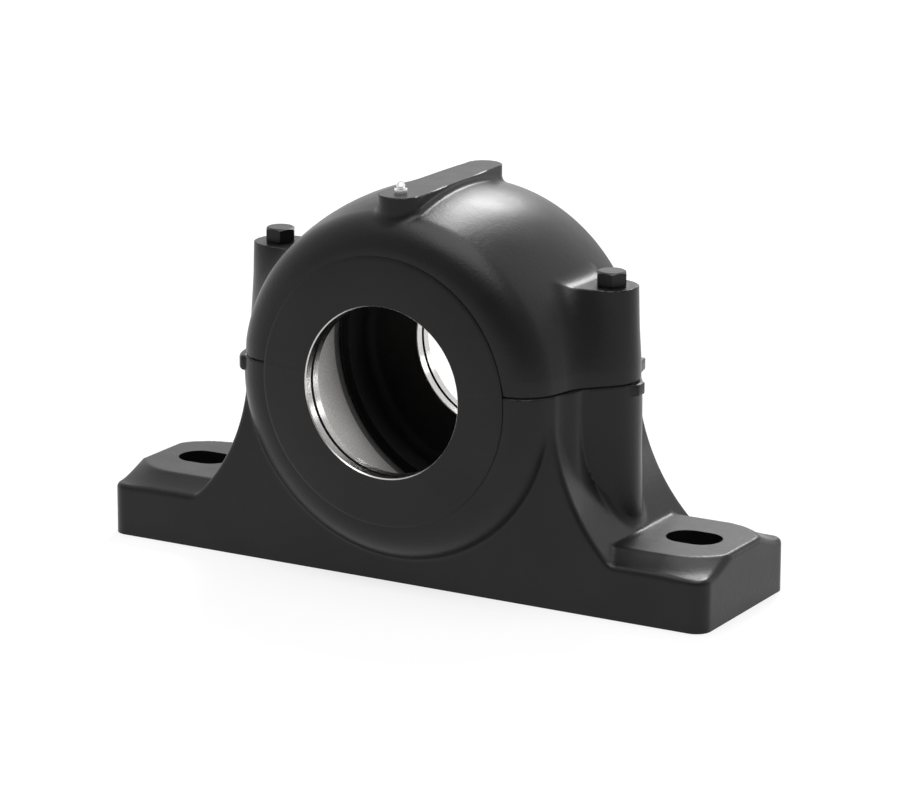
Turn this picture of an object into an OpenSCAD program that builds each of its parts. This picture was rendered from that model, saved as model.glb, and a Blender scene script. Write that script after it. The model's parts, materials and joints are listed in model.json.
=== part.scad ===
// Split plummer block: an empty two-part bearing housing for a round shaft.
// X runs along the foot, Y along the shaft, Z up. The origin is the middle of the sole.

/* [Foot] */
// Length of the foot
foot_len = 380; // [320:1:460]
// Width of the foot and of the body above it
foot_w = 101; // [84:1:122]
// Height of the foot along its long edges
foot_edge_h = 29.5; // [20:0.5:36]
// Radius of the foot's upright corners
foot_corner_r = 9; // [4:0.5:14]
// Height of the flat bolt pads over the foot's edges
pad_rise = 7.5; // [5:0.5:12]
// Radius of the flat pad round a slot
pad_r = 35.5; // [24:0.5:40]
// How far past the foot's edge the slope round a pad runs out
pad_slope_out = 1.5; // [1:0.5:6]
// Distance from a foot slot's centre to the foot's end
slot_in = 31.5; // [26:0.5:40]
// Length of a foot slot, end to end
slot_len = 32; // [26:0.5:38]
// Width of a foot slot
slot_w = 24; // [18:0.5:26]

/* [Body] */
// Height of the shaft's axis over the sole
axis_h = 112; // [108:0.5:136]
// Height of the split over the shaft's axis
split_rise = 7; // [3:0.5:10]
// How far the body's neck lies inside the barrel's crown
neck_in = 6.9; // [4:0.1:12]
// Distance from a foot slot's centre to the bottom of the hollow flank
flank_gap = 24.75; // [20:0.25:34]
// Rounding of the hollow flanks' front and rear edges
flank_edge_r = 2.6; // [1:0.2:5]
// Thickness of the walls round the two pockets cored into the sole below the flanks
pocket_wall = 13; // [10:0.5:18]
// Height of the two pockets
pocket_h = 56; // [40:1:60]
// Distance from the middle to the inner end of each pocket
pocket_in = 42; // [30:1:60]
// Rounding of the pockets' upright corners
pocket_corner_r = 8; // [4:0.5:12]

/* [Barrel] */
// Thickness of the barrel's wall round the seat, at its crown
barrel_wall = 19.4; // [15:0.2:25]
// Radius of the slight crown along the barrel
crown_r = 190; // [150:5:400]
// Radius of the rounding at the barrel's ends
barrel_round = 23; // [12:1:26]
// Length of the housing over the two machined discs
barrel_len = 134; // [120:1:150]
// How far the edge of the machined disc lies inside the barrel's crown
disc_in = 29.4; // [25:0.2:40]
// How far a disc stands out of the casting
disc_proud = 0.7; // [0.3:0.1:2]
// How far the flat rib stands over the barrel's crown
rib_proud = 2.6; // [2:0.2:8]
// Distance from the barrel's end to the centre of each round end of the rib
rib_in = 21.8; // [18:0.2:30]
// Radius of the rib's front end, which carries the nipple
rib_front_r = 12.7; // [8:0.1:16]
// Radius of the rib's rear end
rib_rear_r = 10.6; // [6:0.1:14]

/* [Bores] */
// Diameter of the shaft opening in both end walls
bore_d = 96; // [80:1:110]
// Thickness of the end walls
wall_t = 13.3; // [10:0.1:18]
// Width of the seal groove in each end wall
groove_w = 2.4; // [1.5:0.1:4]
// Depth of the seal groove
groove_depth = 2; // [1:0.1:4]
// Diameter of the seat for the bearing's outer ring
seat_d = 170; // [150:1:204]
// Length of the seat between its shoulders
seat_len = 62; // [50:1:70]
// Depth that the seat is eased at each side of the split
seat_ease = 0.4; // [0.2:0.1:1]
// Height of the shoulders where the seat meets the cast chambers
shoulder_h = 5; // [3:0.5:10]
// Rounding in the chambers' outer corners
chamber_round = 6; // [2:0.5:9]

/* [Cap bolts] */
// How far a cap bolt's axis lies outside the barrel's crown
bolt_out = 1.4; // [0:0.1:8]
// Height of the cap's bosses over the shaft's axis
boss_rise = 58; // [50:0.5:66]
// Radius of a boss at its top
boss_top_r = 15; // [13:0.1:17]
// Radius of a boss at the split
boss_split_r = 17.2; // [15:0.1:19]
// Radius of the hollow where a boss runs into the barrel, at the split
blend_split_r = 23; // [16:0.5:28]
// Radius of the same hollow at the boss's top
blend_top_r = 12; // [8:0.5:18]
// Diameter of the bolt's shank
bolt_d = 12; // [8:1:14]
// Length of the bolt below its head
bolt_len = 80; // [70:1:100]
// How much wider than its shank the bolt's head is, across the flats
bolt_head_over = 4; // [3:0.5:8]
// Height of the bolt's head
bolt_head_h = 9.8; // [6:0.1:12]
// Clearance round the bolt in the cap, on the radius
bolt_clear = 0.75; // [0.4:0.05:1.5]
// Clearance round the bolt in its thread, on the radius
thread_clear = 0.05; // [0.02:0.01:0.1]
// Depth left below the bolt's end
bolt_end_gap = 5; // [2:0.5:10]

/* [Split] */
// Diameter of the dowel pins
dowel_d = 8; // [5:0.5:9]
// Length of the dowel pins
dowel_len = 24; // [16:1:34]
// How far a dowel's axis lies outside the seat
dowel_out = 5; // [3:0.5:6]
// Distance of a dowel's axis from the barrel's end, along the shaft
dowel_in = 25.5; // [24:0.5:30]
// Clearance round a dowel, on the radius
dowel_clear = 0.02; // [0.01:0.01:0.06]
// Depth left beyond each end of a dowel
dowel_end_gap = 1; // [0.5:0.5:3]
// Height of the ledges that stand out of the base below the split
ledge_h = 6.5; // [4:0.5:10]
// How far a corner ledge stands out of the body
ledge_out = 4.5; // [2:0.5:8]
// Length of a corner ledge along the shaft
ledge_len = 26; // [14:1:34]
// How far the end ledge stands out of a bolt column
tip_out = 2.4; // [1:0.2:6]
// Width of the end ledge
tip_w = 12; // [8:1:18]

/* [Nipple] */
// Diameter of the nipple's thread
nipple_d = 6; // [5:0.5:8]
// Length of the nipple's thread
nipple_thread_len = 6; // [5:0.5:9]
// How much wider than its thread the nipple's hexagon is, across the flats
nipple_hex_over = 1; // [0.5:0.1:3]
// Height of the nipple's hexagon
nipple_hex_h = 2.6; // [2:0.1:4]
// Diameter of the nipple's head
nipple_head_d = 5.2; // [4:0.1:7]
// Height of the nipple over the rib
nipple_rise = 6.4; // [6:0.1:9]
// Diameter of the check ball
ball_d = 2; // [1.6:0.1:2.4]
// Clearance round the check ball, on the radius
ball_clear = 0.08; // [0.03:0.01:0.1]
// Diameter of the wire of the nipple's spring
spring_wire_d = 0.3; // [0.2:0.02:0.36]
// Diameter of the grease way below the nipple
way_d = 4; // [3:0.5:5]

/* [Hidden] */
$fn = 96;

// Places and radii that follow from the sizes above
barrel_r = seat_d / 2 + barrel_wall;
disc_r = barrel_r - disc_in;
chamber_r = seat_d / 2 - shoulder_h;
split_h = axis_h + split_rise;
boss_h = axis_h + boss_rise;
rib_h = axis_h + barrel_r + rib_proud;
rib_reach = barrel_len / 2 - rib_in;
bolt_x = barrel_r + bolt_out;
bolt_head_af = bolt_d + bolt_head_over;
dowel_x = seat_d / 2 + dowel_out;
dowel_y = barrel_len / 2 - dowel_in;
pad_h = foot_edge_h + pad_rise;
slot_x = foot_len / 2 - slot_in;
face_y = barrel_len / 2 - disc_proud;
wall_y = barrel_len / 2 - wall_t;
groove_y = barrel_len / 2 - wall_t / 2;

// The hollow flanks run from the neck, at the axis, to the foot's top beside the slots
neck_x = barrel_r - neck_in;
flank_foot_x = slot_x - flank_gap;
flank_run = flank_foot_x - neck_x;
flank_drop = axis_h - foot_edge_h;
flank_r = (pow(flank_run, 2) + pow(flank_drop, 2)) / (2 * flank_run);
flank_x = neck_x + flank_r;
flank_edge_turn = 75;
flank_edge_steps = 3;

lip_chamfer = 0.8;
rib_side_in = 0.25;
blend_lap = 0.5;
blend_root = 4.7;
blend_arc_steps = 10;
blend_rows = 6;
blend_spare = 0.05;
shell_t = 2;
over = 1;

// Where the rounding at a barrel end is centred, so that it meets the crown and the end face smoothly
round_y = face_y - barrel_round;
round_x = barrel_r - crown_r + sqrt(pow(crown_r - barrel_round, 2) - pow(round_y, 2));
round_turn = asin(round_y / (crown_r - barrel_round));
arc_steps = 8;

// The slope beside a pad is steepest at its top
slope_steps = 5;
slope_power = 1.5;

// Sizes of the nipple that follow from the ones above
nipple_end_gap = 2;
nipple_bore_r = ball_d / 2 + ball_clear;
orifice_r = 0.35 * ball_d;
nipple_top = rib_h + nipple_rise;
ball_seat_depth = 1.2;
ball_seat_z = nipple_top - ball_seat_depth;
ball_rest_gap = 0.02;
ball_z = ball_seat_z - sqrt(pow(ball_d / 2, 2) - pow(orifice_r, 2)) - ball_rest_gap;
crimp_h = 0.6;
crimp_r = 0.5;
spring_low_z = rib_h - nipple_thread_len + crimp_h + spring_wire_d / 2 + ball_rest_gap;
spring_r = ball_d / 2 - spring_wire_d / 2 - ball_clear;
spring_high_z = ball_z - sqrt(pow(ball_d / 2 + spring_wire_d / 2, 2) - pow(spring_r, 2)) - 2 * ball_rest_gap;
spring_turns = 7;

iron = [0.13, 0.13, 0.14];
bolt_black = [0.08, 0.08, 0.08];
zinc = [0.75, 0.76, 0.78];
steel = [0.6, 0.6, 0.62];

// Points along an arc round c, from angle a to angle b
function arc(c, r, a, b, n) = [for (i = [0:n]) c + r * [cos(a + (b - a) * i / n), sin(a + (b - a) * i / n)]];

function flip(points) = [for (i = [len(points) - 1:-1:0]) [points[i][0], -points[i][1]]];

// A flat shape drawn as radius and distance along the shaft becomes a body round the shaft
module round_shaft() {
    translate([0, 0, axis_h]) rotate([-90, 0, 0]) rotate_extrude($fn = 180) children();
}

module shaft_cylinder(r, y0, y1) {
    translate([0, y0, axis_h]) rotate([-90, 0, 0]) cylinder(h = y1 - y0, r = r, $fn = 180);
}

module shaft_cone(r0, r1, y0, y1) {
    translate([0, y0, axis_h]) rotate([-90, 0, 0]) cylinder(h = y1 - y0, r1 = r0, r2 = r1, $fn = 180);
}

// Everything between two heights
module band(z0, z1) {
    translate([-foot_len, -barrel_len, z0]) cube([2 * foot_len, 2 * barrel_len, z1 - z0]);
}

// The barrel's half outline: slightly crowned along its length and rounded at its ends
module barrel_outline() {
    crown_low = [barrel_r - crown_r, 0];
    half = concat(
        arc(crown_low, crown_r, 0, round_turn, arc_steps),
        arc([round_x, round_y], barrel_round, round_turn + (90 - round_turn) / arc_steps, 90, arc_steps),
        [[0, face_y]]);
    polygon(concat(flip(half), half));
}

module barrel() {
    round_shaft() barrel_outline();
    shaft_cylinder(disc_r, -barrel_len / 2, barrel_len / 2);
}

// Half outline of a chamber, open towards the middle and rounded at its outer corner
module chamber_outline() {
    corner = [chamber_r - chamber_round, wall_y - chamber_round];
    polygon(concat([[0, 0], [chamber_r, 0]], arc(corner, chamber_round, 0, 90, arc_steps), [[0, wall_y]]));
}

// Everything that is machined or cored out round the shaft
module shaft_hollow() {
    half_len = barrel_len / 2;
    shaft_cylinder(bore_d / 2, -half_len - over, half_len + over);
    shaft_cylinder(seat_d / 2, -seat_len / 2, seat_len / 2);
    round_shaft() chamber_outline();
    round_shaft() mirror([0, 1]) chamber_outline();
    for (side = [-1, 1]) {
        y = side * groove_y;
        shaft_cylinder(bore_d / 2 + groove_depth, y - groove_w / 2, y + groove_w / 2);
    }
    shaft_cone(bore_d / 2, bore_d / 2 + lip_chamfer + over, half_len - lip_chamfer, half_len + over);
    shaft_cone(bore_d / 2 + lip_chamfer + over, bore_d / 2, -half_len - over, lip_chamfer - half_len);
}

// The plan of the foot, with round corners
module foot_plan() {
    long_x = foot_len - 2 * foot_corner_r;
    square([long_x, foot_w], center = true);
    square([foot_len, foot_w - 2 * foot_corner_r], center = true);
    for (x = [-1, 1], y = [-1, 1])
        translate([x * long_x / 2, y * (foot_w / 2 - foot_corner_r)]) circle(foot_corner_r);
}

// The slope beside a pad, from its flat top down to the foot's edge, as points of distance and height
function pad_slope() =
    let (run = foot_w / 2 + pad_slope_out - pad_r)
    [for (i = [0:slope_steps]) let (t = i / slope_steps)
        [pad_r + run * t, foot_edge_h + pad_rise * pow(1 - t, slope_power)]];

// A raised pad round one slot, running in to the body, with hollow slopes down to the foot's edge
module pad() {
    slope = pad_slope();
    low = [foot_w / 2 + pad_slope_out, foot_edge_h / 2];
    side = concat(slope, [low]);
    translate([slot_x, 0, 0]) {
        rotate_extrude() polygon(concat([[0, foot_edge_h / 2], [0, pad_h]], side));
        rotate([90, 0, -90]) linear_extrude(slot_x)
            polygon(concat(side, [for (i = [len(side) - 1:-1:0]) [-side[i][0], side[i][1]]]));
    }
}

module foot() {
    linear_extrude(foot_edge_h) foot_plan();
    intersection() {
        linear_extrude(pad_h + over) foot_plan();
        union() {
            pad();
            rotate([0, 0, 180]) pad();
        }
    }
}

module slot_hole() {
    translate([0, 0, -over]) linear_extrude(pad_h + 2 * over) {
        square([slot_len - slot_w, slot_w], center = true);
        for (side = [-1, 1]) translate([side * (slot_len - slot_w) / 2, 0]) circle(slot_w / 2);
    }
}

// Half outline of the round that hollows a flank, wider at its end so that the flank's edge comes out round
function flank_outline() =
    let (side_y = foot_w / 2, centre = [flank_r + flank_edge_r, side_y - flank_edge_r])
    let (edge = arc(centre, flank_edge_r, 180, 180 - flank_edge_turn, flank_edge_steps))
    let (last = edge[flank_edge_steps], rest = side_y + over - last[1])
    concat([[flank_r, 0]], edge, [[last[0] + rest * tan(flank_edge_turn), side_y + over]]);

// The body between foot and split, with hollow flanks
module web() {
    half = flank_outline();
    low = foot_edge_h / 2;
    difference() {
        translate([-flank_foot_x, -foot_w / 2, low]) cube([2 * flank_foot_x, foot_w, split_h - low]);
        for (side = [-1, 1]) translate([side * flank_x, 0, 0]) round_shaft()
            polygon(concat([[0, -foot_w / 2 - over]], flip(half), half, [[0, foot_w / 2 + over]]));
    }
}

// A pocket below the right flank, between the wall round the seat and the wall under the flank
module pocket() {
    outer_x = flank_foot_x - pocket_wall;
    half_w = foot_w / 2 - pocket_wall;
    in_w = half_w - pocket_corner_r;
    difference() {
        translate([0, 0, -over]) linear_extrude(pocket_h + over) {
            translate([pocket_in, -in_w]) square([outer_x - pocket_in, 2 * in_w]);
            translate([pocket_in + pocket_corner_r, -half_w])
                square([outer_x - pocket_in - 2 * pocket_corner_r, 2 * half_w]);
            for (x = [pocket_in + pocket_corner_r, outer_x - pocket_corner_r], y = [-in_w, in_w])
                translate([x, y]) circle(pocket_corner_r);
        }
        shaft_cylinder(seat_d / 2 + pocket_wall, -half_w - over, half_w + over);
        translate([flank_x, 0, 0]) shaft_cylinder(flank_r + pocket_wall, -half_w - over, half_w + over);
    }
}

// Sizes of a boss and of the hollow beside it, where t runs from 0 at the split to 1 at the boss's top
function boss_r_at(t) = boss_split_r + (boss_top_r - boss_split_r) * t;
function blend_r_at(t) = blend_split_r + (blend_top_r - blend_split_r) * t;
function boss_z_at(t) = split_h + (boss_h - split_h) * t;

// Distance of the barrel's surface from the middle, at a height over the axis and a place along the shaft
function barrel_x(rise, y) =
    sqrt(pow(barrel_r - crown_r + sqrt(pow(crown_r, 2) - pow(y, 2)), 2) - pow(rise, 2));

// Centre of the hollow that touches both the boss and the barrel
function blend_centre(t) =
    let (r = blend_r_at(t), reach = boss_r_at(t) + r - blend_lap, rise = boss_z_at(t) - axis_h)
    let (near_x = barrel_x(rise, reach) + r - blend_lap)
    let (near_y = sqrt(pow(reach, 2) - pow(near_x - bolt_x, 2)))
    let (x = barrel_x(rise, near_y) + r - blend_lap)
    [x, sqrt(pow(reach, 2) - pow(x - bolt_x, 2))];

// The plan of the blend between a boss and the barrel, with each hollow drawn in a number of steps
function blend_plan(t, steps) =
    let (centre = blend_centre(t), turn = atan2(-centre[1], bolt_x - centre[0]) + 360)
    let (half = concat([[chamber_r - blend_root, centre[1]]], arc(centre, blend_r_at(t), 180, turn, steps)))
    concat(half, flip(half));

// The rows that draw a blend start a little below the split and end a little above the boss's top
function row_t(i) = (1 + 2 * blend_spare) * i / blend_rows - blend_spare;

// The blend beside a cap boss: its hollows shrink towards the boss's top
module cap_blend() {
    plans = [for (i = [0:blend_rows]) blend_plan(row_t(i), blend_arc_steps)];
    count = len(plans[0]);
    points = [for (i = [0:blend_rows]) for (p = plans[i]) [p[0], p[1], boss_z_at(row_t(i))]];
    sides = [for (i = [0:blend_rows - 1], j = [0:count - 1])
        let (a = i * count + j, b = i * count + (j + 1) % count)
        each [[a, b, b + count], [a, b + count, a + count]]];
    bottom = [for (j = [count - 1:-1:0]) j];
    top = [for (j = [0:count - 1]) blend_rows * count + j];
    polyhedron(points, concat(sides, [bottom, top]));
}

// Ledges below the split for lifting the cap off: one at a corner and one at the bolt column's end
module ledges() {
    corner_x = neck_x + ledge_out;
    tip_x = bolt_x + boss_split_r + tip_out;
    translate([barrel_r / 2, foot_w / 2 - ledge_len, split_h - ledge_h])
        cube([corner_x - barrel_r / 2, ledge_len, ledge_h]);
    translate([bolt_x, -tip_w / 2, split_h - ledge_h]) cube([tip_x - bolt_x, tip_w, ledge_h]);
}

module bolt_column() {
    translate([0, 0, foot_edge_h / 2]) linear_extrude(split_h - foot_edge_h / 2) {
        translate([bolt_x, 0]) circle(boss_split_r);
        difference() {
            polygon(blend_plan(0, 1));
            for (side = [-1, 1])
                translate([blend_centre(0)[0], side * blend_centre(0)[1]]) circle(blend_split_r);
        }
    }
}

module housing_base() {
    thread_depth = bolt_len - (boss_h - split_h) + bolt_end_gap;
    eased_r = seat_d / 2 + seat_ease;
    ease_h = split_rise / 2;
    color(iron) difference() {
        intersection() {
            union() {
                foot();
                web();
                barrel();
                for (turn = [0, 180]) rotate([0, 0, turn]) {
                    bolt_column();
                    ledges();
                }
            }
            band(0, split_h);
        }
        shaft_hollow();
        translate([-eased_r, -seat_len / 2 + over, split_h - ease_h])
            cube([2 * eased_r, seat_len - 2 * over, ease_h + over]);
        for (side = [-1, 1]) {
            translate([side * slot_x, 0, 0]) slot_hole();
            rotate([0, 0, 90 - 90 * side]) pocket();
            translate([side * bolt_x, 0, split_h - thread_depth])
                cylinder(h = thread_depth + over, d = bolt_d + 2 * thread_clear);
            translate([side * dowel_x, -side * dowel_y, 0]) dowel_hole();
        }
    }
}

// The flat rib along the crown, round at both ends and wider at the front, with its sides set in a little
module rib() {
    low = axis_h + seat_d / 2 + shell_t;
    front_x = rib_front_r - rib_side_in;
    rear_x = rib_rear_r - rib_side_in;
    translate([0, 0, low]) linear_extrude(rib_h - low) {
        translate([0, -rib_reach]) circle(rib_front_r);
        translate([0, rib_reach]) circle(rib_rear_r);
        polygon([[-front_x, -rib_reach], [front_x, -rib_reach], [rear_x, rib_reach], [-rear_x, rib_reach]]);
    }
}

module cap_boss() {
    low = boss_z_at(row_t(0));
    high = boss_z_at(row_t(blend_rows));
    intersection() {
        union() {
            translate([bolt_x, 0, low])
                cylinder(h = high - low, r1 = boss_r_at(row_t(0)), r2 = boss_r_at(row_t(blend_rows)));
            cap_blend();
        }
        band(split_h, boss_h);
    }
}

module housing_cap() {
    color(iron) difference() {
        union() {
            intersection() {
                barrel();
                band(split_h, axis_h + 2 * barrel_r);
            }
            cap_boss();
            rotate([0, 0, 180]) cap_boss();
            rib();
        }
        shaft_hollow();
        for (side = [-1, 1]) {
            translate([side * bolt_x, 0, split_h - over])
                cylinder(h = boss_h - split_h + 2 * over, r = bolt_d / 2 + bolt_clear);
            translate([side * dowel_x, -side * dowel_y, 0]) dowel_hole();
        }
        translate([0, -rib_reach, rib_h - nipple_thread_len - nipple_end_gap])
            cylinder(h = nipple_thread_len + nipple_end_gap + over, d = nipple_d + 2 * thread_clear);
        translate([0, -rib_reach, axis_h + bore_d / 2]) cylinder(h = rib_h - axis_h - bore_d / 2, d = way_d);
    }
}

module cap_bolt() {
    chamfer = 1.2;
    corner_r = bolt_head_af / sqrt(3);
    flat_r = bolt_head_af / 2 - 0.4;
    dome_h = (corner_r + over - flat_r) * tan(30);
    color(bolt_black) {
        translate([0, 0, boss_h]) intersection() {
            rotate([0, 0, 30]) cylinder(h = bolt_head_h, r = corner_r, $fn = 6);
            union() {
                cylinder(h = bolt_head_h - dome_h, r = corner_r + over);
                translate([0, 0, bolt_head_h - dome_h])
                    cylinder(h = dome_h, r1 = corner_r + over, r2 = flat_r);
            }
        }
        translate([0, 0, boss_h - bolt_len + chamfer]) cylinder(h = bolt_len - chamfer, d = bolt_d);
        translate([0, 0, boss_h - bolt_len]) cylinder(h = chamfer, d1 = bolt_d - 2 * chamfer, d2 = bolt_d);
    }
}

module cap_bolt_left() {
    translate([-bolt_x, 0, 0]) cap_bolt();
}

module cap_bolt_right() {
    translate([bolt_x, 0, 0]) cap_bolt();
}

module dowel_hole() {
    depth = dowel_len / 2 + dowel_end_gap;
    translate([0, 0, split_h - depth]) cylinder(h = 2 * depth, d = dowel_d + 2 * dowel_clear);
}

module dowel_pin() {
    chamfer = 0.8;
    straight = dowel_len - 2 * chamfer;
    color(steel) translate([0, 0, split_h - dowel_len / 2]) {
        cylinder(h = chamfer, d1 = dowel_d - 2 * chamfer, d2 = dowel_d);
        translate([0, 0, chamfer]) cylinder(h = straight, d = dowel_d);
        translate([0, 0, dowel_len - chamfer])
            cylinder(h = chamfer, d1 = dowel_d, d2 = dowel_d - 2 * chamfer);
    }
}

module dowel_pin_left() {
    translate([-dowel_x, dowel_y, 0]) dowel_pin();
}

module dowel_pin_right() {
    translate([dowel_x, -dowel_y, 0]) dowel_pin();
}

// The nipple's outside from the hexagon's top up: a neck and a head that narrows to its tip
module nipple_head() {
    neck_r = nipple_head_d / 2 - 0.7;
    head_low = nipple_hex_h + 1;
    cone_low = head_low + 1.1;
    tip_r = orifice_r + 0.5;
    rotate_extrude()
        polygon([[0, 0], [neck_r, 0], [neck_r, head_low - 0.3], [nipple_head_d / 2, head_low + 0.4],
            [nipple_head_d / 2, cone_low], [tip_r, nipple_rise], [0, nipple_rise]]);
}

module nipple_body() {
    hex_r = (nipple_d + nipple_hex_over) / sqrt(3);
    color(zinc) translate([0, -rib_reach, 0]) difference() {
        union() {
            translate([0, 0, rib_h - nipple_thread_len]) cylinder(h = nipple_thread_len, d = nipple_d);
            translate([0, 0, rib_h]) cylinder(h = nipple_hex_h, r = hex_r, $fn = 6);
            translate([0, 0, rib_h]) nipple_head();
        }
        translate([0, 0, rib_h - nipple_thread_len - over]) cylinder(h = nipple_thread_len, r = crimp_r);
        translate([0, 0, rib_h - nipple_thread_len + crimp_h])
            cylinder(h = ball_seat_z - rib_h + nipple_thread_len - crimp_h, r = nipple_bore_r);
        translate([0, 0, rib_h]) cylinder(h = nipple_rise + over, r = orifice_r);
    }
}

module nipple_ball() {
    color(steel) translate([0, -rib_reach, ball_z]) sphere(d = ball_d, $fn = 48);
}

// A coil spring as rings of points swept along a helix
module nipple_spring() {
    sides = 8;
    steps = 16 * spring_turns;
    height = spring_high_z - spring_low_z;
    points = [for (i = [0:steps], j = [0:sides - 1])
        let (turn = 360 * spring_turns * i / steps, edge = 360 * j / sides)
        let (r = spring_r + spring_wire_d / 2 * cos(edge))
        [r * cos(turn), r * sin(turn), height * i / steps + spring_wire_d / 2 * sin(edge)]];
    skin = [for (i = [0:steps - 1], j = [0:sides - 1])
        let (a = i * sides + j, b = i * sides + (j + 1) % sides)
        [a, a + sides, b + sides, b]];
    low_end = [for (j = [0:sides - 1]) j];
    high_end = [for (j = [sides - 1:-1:0]) steps * sides + j];
    color(steel) translate([0, -rib_reach, spring_low_z])
        polyhedron(points, concat(skin, [low_end, high_end]));
}

housing_base();
housing_cap();
cap_bolt_left();
cap_bolt_right();
dowel_pin_left();
dowel_pin_right();
nipple_body();
nipple_ball();
nipple_spring();
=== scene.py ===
# The looks of a split plummer block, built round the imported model.
# Lengths are in millimetres until a mesh is made, and MM turns them into metres.
import json
import math

import bmesh
import bpy
import numpy as np
from mathutils import Matrix, Vector


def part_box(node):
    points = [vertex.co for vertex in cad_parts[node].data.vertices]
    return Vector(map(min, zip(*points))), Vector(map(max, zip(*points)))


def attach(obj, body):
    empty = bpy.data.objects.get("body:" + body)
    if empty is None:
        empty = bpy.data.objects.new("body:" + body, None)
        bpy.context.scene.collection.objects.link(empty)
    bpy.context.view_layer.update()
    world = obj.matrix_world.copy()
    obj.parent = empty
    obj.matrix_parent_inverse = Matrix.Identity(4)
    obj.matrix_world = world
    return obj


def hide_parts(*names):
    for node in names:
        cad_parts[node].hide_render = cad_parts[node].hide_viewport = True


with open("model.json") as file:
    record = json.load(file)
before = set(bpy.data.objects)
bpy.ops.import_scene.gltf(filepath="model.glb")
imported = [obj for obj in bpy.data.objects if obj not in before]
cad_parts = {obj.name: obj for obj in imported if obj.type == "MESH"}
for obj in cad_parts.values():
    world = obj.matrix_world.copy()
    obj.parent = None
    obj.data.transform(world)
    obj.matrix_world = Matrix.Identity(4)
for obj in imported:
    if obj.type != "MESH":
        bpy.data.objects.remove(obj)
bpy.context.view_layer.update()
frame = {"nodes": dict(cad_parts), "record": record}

MM = 0.001
MOUNTS = {mount["name"]: mount for mount in frame["record"]["mounts"]}


def node_box(name):
    """Lowest and highest corner of a CAD node, in millimetres."""
    low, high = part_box(name)
    return np.array(low) / MM, np.array(high) / MM


BASE_LOW, BASE_HIGH = node_box("housing_base")
CAP_LOW, CAP_HIGH = node_box("housing_cap")
BOLT_LOW, BOLT_HIGH = node_box("cap_bolt_right")
NIPPLE_LOW = node_box("nipple_body")[0]

# The foot
FOOT_LEN = BASE_HIGH[0] - BASE_LOW[0]
FOOT_W = 101.0
FOOT_EDGE_H = 29.5
FOOT_CORNER_R = 9.0
FOOT_EDGE_ROUND = 2.6
PAD_H = MOUNTS["foot_bolts"]["pos_m"][2] / MM
PAD_R = 35.5
PAD_FOOT_R = 52.0
PAD_SLOPE_POWER = 1.5
SLOT_X = MOUNTS["foot_bolts"]["dims"]["spacing_x_mm"] / 2
SLOT_R = MOUNTS["foot_bolts"]["dims"]["hole_r_mm"]
SLOT_HALF = MOUNTS["foot_bolts"]["dims"]["slot_length_mm"] / 2 - SLOT_R

# The body and its hollow flanks
AXIS_H = MOUNTS["shaft_bore"]["pos_m"][2] / MM
SPLIT_H = CAP_LOW[2]
NECK_HALF = 97.5
FLANK_R = 112.0
FLANK_X = NECK_HALF + FLANK_R
WEB_EDGE_ROUND = 2.6
WEB_FOOT_FILLET = 1.5

# The fillet between barrel and web, narrow at the end faces and wide in between
SIDE_FILLET = 2.0
SIDE_FILLET_GROWTH = 12.0
SIDE_FILLET_Y = 46.0
SIDE_FILLET_RUN = 14.0

# The barrel
BARREL_R = 104.4
CROWN_R = 190.0
BARREL_ROUND = 23.0
HALF_LEN = BASE_HIGH[1]
DISC_PROUD = 1.1
DISC_R = 75.6
DISC_EDGE = 2.0
DISC_EDGE_H = 0.5
DISC_EDGE_KNEE = 0.3
DISC_EDGE_LEAD = 0.1
DISC_INNER_R = 20.0
DISC_INNER_Y = 58.0
FACE_Y = HALF_LEN - DISC_PROUD
ROUND_Y = FACE_Y - BARREL_ROUND
ROUND_X = BARREL_R - CROWN_R + math.sqrt((CROWN_R - BARREL_ROUND) ** 2 - ROUND_Y**2)
ROUND_TURN = math.asin(ROUND_Y / (CROWN_R - BARREL_ROUND))

# The rib along the crown
RIB_H = CAP_HIGH[2]
RIB_REACH = 45.2
RIB_FRONT_R = 12.7
RIB_REAR_R = 10.6
RIB_EDGE_ROUND = 0.5
RIB_FILLET = 3.0
RIB_OVER_SEAT = 4.0

# The bolt bosses and the columns below them
BOLT_X = (BOLT_LOW[0] + BOLT_HIGH[0]) / 2
BOSS_H = 171.6
BOSS_TOP_FILLET = 6.0
BOSS_EDGE_ROUND = 0.5
BOSS_TOP_R = 15.0
BOSS_SPLIT_R = 16.4
COLUMN_LOW = 20.0
COLUMN_DRAFT = 0.03
COLUMN_FILLET = 3.0
BOSS_TOP_BLEND = 22.0
BOSS_SPLIT_BLEND = 23.0

# The machined inside
BORE_R = MOUNTS["shaft_bore"]["dims"]["r_mm"]
SEAT_R = MOUNTS["bearing_seat"]["dims"]["r_mm"]
SEAT_HALF = MOUNTS["bearing_seat"]["dims"]["length_mm"] / 2
WALL_T = 13.3
WALL_Y = HALF_LEN - WALL_T
WALL_CHAMFER = 0.4
LIP_CHAMFER = 0.6
# A band this wide at each end of the seat gets a darker iron, as painted shade
SEAT_SHADE_WIDTH = 7.5
SEAT_CHAMFER = 0.5
GROOVE_W = 2.4
GROOVE_DEPTH = 1.1
CHAMBER_R = 80.0
CHAMBER_ROUND = 6.0

# The drilled holes
BOLT_HOLE_R = 6.75
THREAD_HOLE_R = 6.05
THREAD_END = BOLT_LOW[2] - 5.0
DOWEL_X = SEAT_R + 5.0
DOWEL_Y = 41.5
DOWEL_R = 4.02
DOWEL_HALF = 13.0
NIPPLE_HOLE_R = 3.05
NIPPLE_HOLE_END = NIPPLE_LOW[2] - 1.0
GREASE_WAY_R = 2.0

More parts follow.
